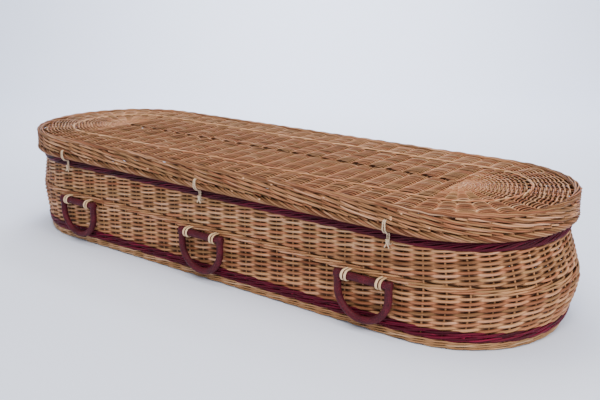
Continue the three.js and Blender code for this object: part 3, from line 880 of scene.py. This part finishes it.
# The ties: two twisted strings from inside the lid, down over its lower border and in to the
# burgundy one, through the wall and up inside. They are knotted in front, with two short tails.
TWINE_STOPS = [
    (0.0, (0.420, 0.310, 0.205)),
    (0.5, (0.600, 0.460, 0.320)),
    (1.0, (0.760, 0.620, 0.460))]
TWINE_DARK = (0.140, 0.085, 0.045)
TWINE_PALE = (0.680, 0.560, 0.410)
twine = rod_material("pale twine", TWINE_STOPS, TWINE_DARK, TWINE_PALE, 0.75, 0.1)
TWINE_RADIUS = 0.0020
TWINE_LAY = 0.014
TWINE_APART = 0.0032
KNOT_HEIGHT = 0.2617
KNOT_INSET = 0.0155
KNOT_SIZE = 0.0015
TAIL_LENGTH = 0.019
TIE_SLACK = 0.0008
TIE_POINTS, KNOT_POINTS, TAIL_POINTS = 110, 40, 14
TIE_CORNERS = [   # distance outwards from the edge of the lid's plan, and height
    (-0.0553, 0.2509), (-0.0197, 0.2509), (-0.0197, 0.2817), (-0.0070, 0.2834), (0.0028, 0.2935),
    (0.0028, 0.3160), (-0.0020, 0.3188), (-0.0553, 0.3188)]


def twisted(lines, radius, lay, closed, up):
    """Two yarns twisted round each line: each keeps to a circle of half the cord's radius and goes
    once round it for each length of lay."""
    ahead = np.roll(lines, -1, 1) - np.roll(lines, 1, 1) if closed else np.gradient(lines, axis=1)
    ahead = ahead / np.linalg.norm(ahead, axis=2, keepdims=True)
    up = np.broadcast_to(np.asarray(up, float), ahead.shape)
    beside = np.cross(ahead, up)
    beside = beside / np.linalg.norm(beside, axis=2, keepdims=True)
    over = np.cross(beside, ahead)
    step = np.linalg.norm(np.diff(lines, axis=1), axis=2)
    along = np.pad(np.cumsum(step, 1), ((0, 0), (1, 0)))
    turns = along / lay
    if closed:
        turns = along / along[:, -1:] * np.round(along[:, -1:] / lay) * (1 - 1 / along.shape[1])
    yarns = []
    for half in (0.0, 0.5):
        swept = 2 * np.pi * (turns + half)[..., None]
        yarns.append(lines + radius / 2 * (np.cos(swept) * beside + np.sin(swept) * over))
    return tubes(np.concatenate(yarns), radius * 0.56, sides=6, closed=closed, up=up[0, 0])


def round_corners(corners, count, reach):
    """A closed line through the corners, with points at equal distances, each moved to the mean
    of its neighbours within the reach."""
    closed = np.concatenate([corners, corners[:1]])
    travelled = np.r_[0, np.cumsum(np.linalg.norm(np.diff(closed, axis=0), axis=1))]
    wanted = np.arange(count) / count * travelled[-1]
    line = np.stack([np.interp(wanted, travelled, closed[:, k]) for k in range(2)], 1)
    return np.mean([np.roll(line, shift, 0) for shift in range(-reach, reach + 1)], 0)


tie_line = round_corners(np.array(TIE_CORNERS), TIE_POINTS, 2)
for side, outwards in (("front", -1), ("back", 1)):
    for number in (1, 2, 3):
        node = f"tie_{side}_{number}"
        low, high = (np.array(corner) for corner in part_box(node))
        x = (low[0] + high[0]) / 2
        loops = []
        for apart in (-TWINE_APART, TWINE_APART):
            slack = TIE_SLACK * np.sin(np.linspace(0, 6 * np.pi, TIE_POINTS) + apart * 500)
            loops.append(np.stack([
                x + apart + slack, outwards * (HALF_WIDTH + tie_line[:, 0]), tie_line[:, 1]], 1))
        swept = np.linspace(0, 2 * np.pi, KNOT_POINTS, endpoint=False)
        knot_at = np.array([x, outwards * (HALF_WIDTH - KNOT_INSET), KNOT_HEIGHT])
        knot = knot_at + KNOT_SIZE * np.stack([
            np.sin(swept) + 2 * np.sin(2 * swept),
            -1.2 * np.sin(3 * swept),
            np.cos(swept) - 2 * np.cos(2 * swept)], 1)
        tails = []
        for lean in (-1, 1):
            share = np.linspace(0, 1, TAIL_POINTS)
            tails.append(knot_at + TAIL_LENGTH * np.stack([
                lean * (0.10 * share + 0.26 * share ** 2), outwards * 0.10 * share, -0.93 * share], 1))
        string = twisted(np.stack(loops), TWINE_RADIUS, TWINE_LAY, True, (1, 0, 0))
        tail = twisted(np.stack(tails), TWINE_RADIUS * 0.9, TWINE_LAY * 0.8, False, (0, 1, 0))
        add_piece(
            f"{node}_strings",
            [(string, 0.5, random.uniform(0.5, 1, 4), 0.0),
             (tubes(knot[None], TWINE_RADIUS * 0.9, sides=7, up=(0, 1, 0)), 0.4, 0.8, 0.0),
             (tail, 0.5, 0.9, 0.0)],
            twine, [node])

# The studio: a pale floor and backdrop in one sweep, soft lights above, in front towards the
# right, at the right end and on the backdrop, and the camera where the photograph was taken from.
backdrop = bpy.data.materials.new("pale backdrop")
backdrop.use_nodes = True
paper = backdrop.node_tree.nodes["Principled BSDF"]
paper.inputs["Base Color"].default_value = (0.76, 0.82, 0.985, 1)
paper.inputs["Roughness"].default_value = 0.9

SWEEP_RADIUS = 1.5
SWEEP_DISTANCE = 3.2
SWEEP_HEIGHT = 5.0
SWEEP_HALF = 9.0
bend = np.linspace(0, np.pi / 2, 24)
profile = np.concatenate([
    [[-7.0, 0.0]],
    np.stack([SWEEP_DISTANCE + SWEEP_RADIUS * np.sin(bend), SWEEP_RADIUS * (1 - np.cos(bend))], 1),
    [[SWEEP_DISTANCE + SWEEP_RADIUS, SWEEP_HEIGHT]]])
VIEW_FROM = Vector((1.6328, -1.9315, 0.9115))
VIEW_TO = Vector((0.1280, 0.0, 0.2093))
away = Vector((VIEW_TO.x - VIEW_FROM.x, VIEW_TO.y - VIEW_FROM.y, 0)).normalized()
beside = Vector((away.y, -away.x, 0))
sweep_points = []
for across in (-SWEEP_HALF, SWEEP_HALF):
    for distance, height in profile:
        place = away * float(distance) + beside * across
        sweep_points.append((place.x, place.y, float(height) - 0.0005))
columns = len(profile)
sweep_faces = [(k, k + columns, k + columns + 1, k + 1) for k in range(columns - 1)]
sweep_mesh = bpy.data.meshes.new("studio_sweep")
sweep_mesh.from_pydata(sweep_points, [], sweep_faces)
sweep_mesh.shade_smooth()
sweep_mesh.materials.append(backdrop)
sweep = bpy.data.objects.new("studio_sweep", sweep_mesh)
bpy.context.collection.objects.link(sweep)

world = bpy.data.worlds.new("studio")
bpy.context.scene.world = world
world.use_nodes = True
world.node_tree.nodes["Background"].inputs["Color"].default_value = (0.94, 0.965, 1.0, 1)
world.node_tree.nodes["Background"].inputs["Strength"].default_value = 0.84


def soft_light(name, place, aim, size, power, colour):
    """A square lamp of a size and power that faces a point."""
    lamp = bpy.data.lights.new(name, "AREA")
    lamp.shape = "SQUARE"
    lamp.size = size
    lamp.energy = power
    lamp.color = colour
    holder = bpy.data.objects.new(name, lamp)
    holder.location = place
    holder.rotation_euler = (Vector(aim) - Vector(place)).to_track_quat("-Z", "Y").to_euler()
    bpy.context.collection.objects.link(holder)


soft_light("overhead softbox", (-0.4, -0.2, 3.0), (0, 0, 0.2), 1.8, 54, (1.0, 0.93, 0.84))
soft_light("front softbox", (1.7, -2.3, 3.0), (0.3, 0, 0.2), 1.1, 78, (1.0, 0.94, 0.86))
soft_light("end softbox", (3.2, -0.8, 2.0), (0.6, 0, 0.2), 1.1, 66, (1.0, 0.95, 0.89))
soft_light("backdrop light", (-1.2, 2.0, 3.4), (-2.4, 4.2, 0.8), 1.6, 270, (0.97, 0.98, 1.0))

camera_data = bpy.data.cameras.new("camera")
camera_data.lens = 49.15
camera_data.sensor_width = 36
camera = bpy.data.objects.new("camera", camera_data)
camera.location = VIEW_FROM
camera.rotation_euler = (VIEW_TO - VIEW_FROM).to_track_quat("-Z", "Y").to_euler()
bpy.context.collection.objects.link(camera)
bpy.context.scene.camera = camera
